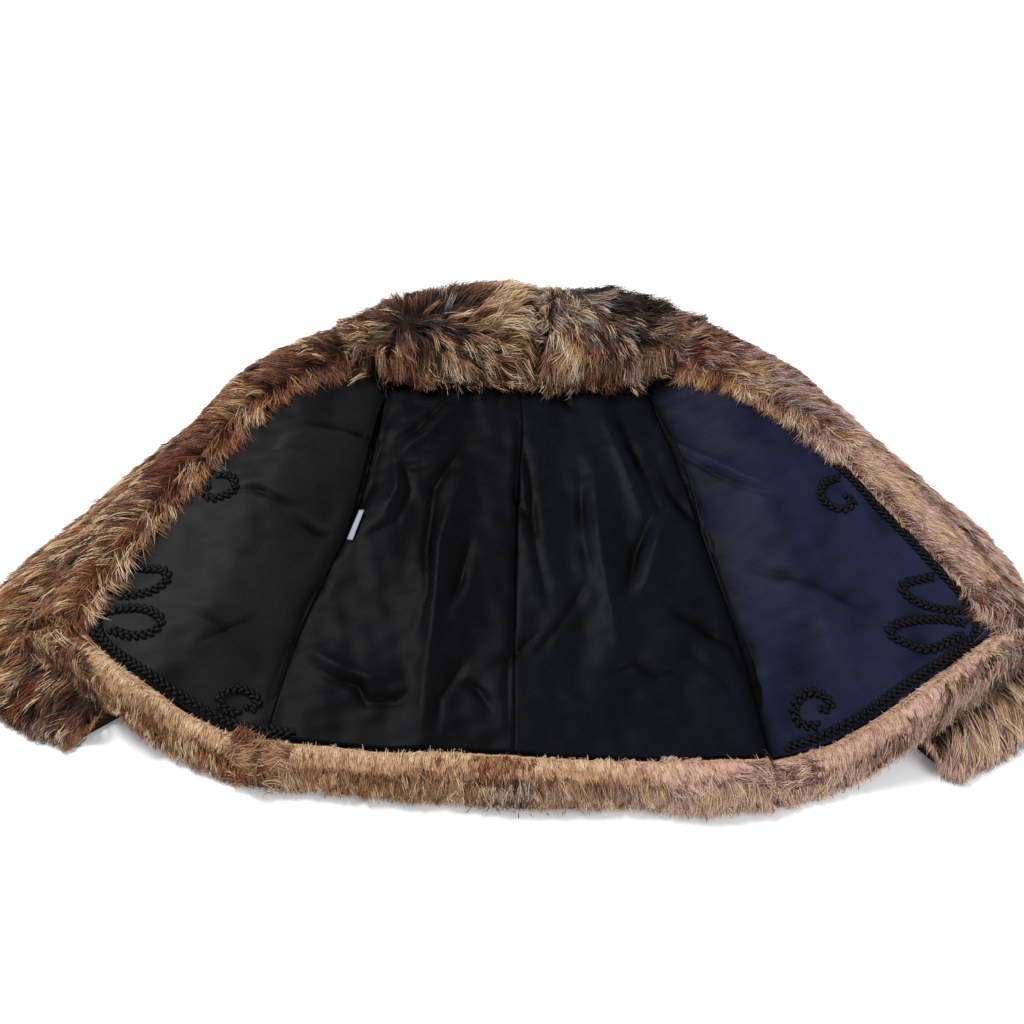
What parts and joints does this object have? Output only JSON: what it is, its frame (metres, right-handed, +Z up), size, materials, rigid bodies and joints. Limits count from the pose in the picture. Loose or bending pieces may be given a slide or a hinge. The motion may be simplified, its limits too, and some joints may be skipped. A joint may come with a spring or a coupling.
{
  "type": "fur coat",
  "caption": "Short fur coat laid open on its back, lining up: turned fur fronts and hem, thick fur collar, braid scrolls on the lining, flat sleeves under the fronts.",
  "frame": {"origin": "on the surface the coat lies on, under the middle of the coat's bounding box", "axes": "+X to the right as seen from the hem, +Y from hem to collar, +Z up out of the surface"},
  "size_m": [1.2816, 0.7626, 0.0897],
  "materials": {
    "shell_fur": "long fur, brown with cream tips",
    "facing_fur": "long fur, russet with cream tips",
    "hem_fur": "combed fur, tan underfur with darker tips",
    "collar_fur": "long fur, dark brown and cream",
    "lining_satin": "smooth satin lining, near black",
    "braid": "plaited cord, black",
    "label_tape": "woven tape, blank"
  },
  "bodies": {
    "root": {"back_shell": "shell_fur", "front_shell_left": "shell_fur", "front_shell_right": "shell_fur", "under_sleeve_left": "shell_fur", "under_sleeve_right": "shell_fur", "top_sleeve_left": "shell_fur", "top_sleeve_right": "shell_fur", "facing_left": "facing_fur", "facing_right": "facing_fur", "hem_front_left": "hem_fur", "hem_front_right": "hem_fur", "hem_back": "hem_fur", "collar_left": "collar_fur", "collar_right": "collar_fur", "lining_back_left": "lining_satin", "lining_back_right": "lining_satin", "lining_front_left": "lining_satin", "lining_front_right": "lining_satin", "braid_edge_left": "braid", "braid_edge_right": "braid", "scroll_front_left": "braid", "scroll_upper_left": "braid", "scroll_lower_left": "braid", "scroll_hem_left": "braid", "scroll_front_right": "braid", "scroll_upper_right": "braid", "scroll_lower_right": "braid", "scroll_hem_right": "braid", "label": "label_tape"}
  },
  "joints": []
}
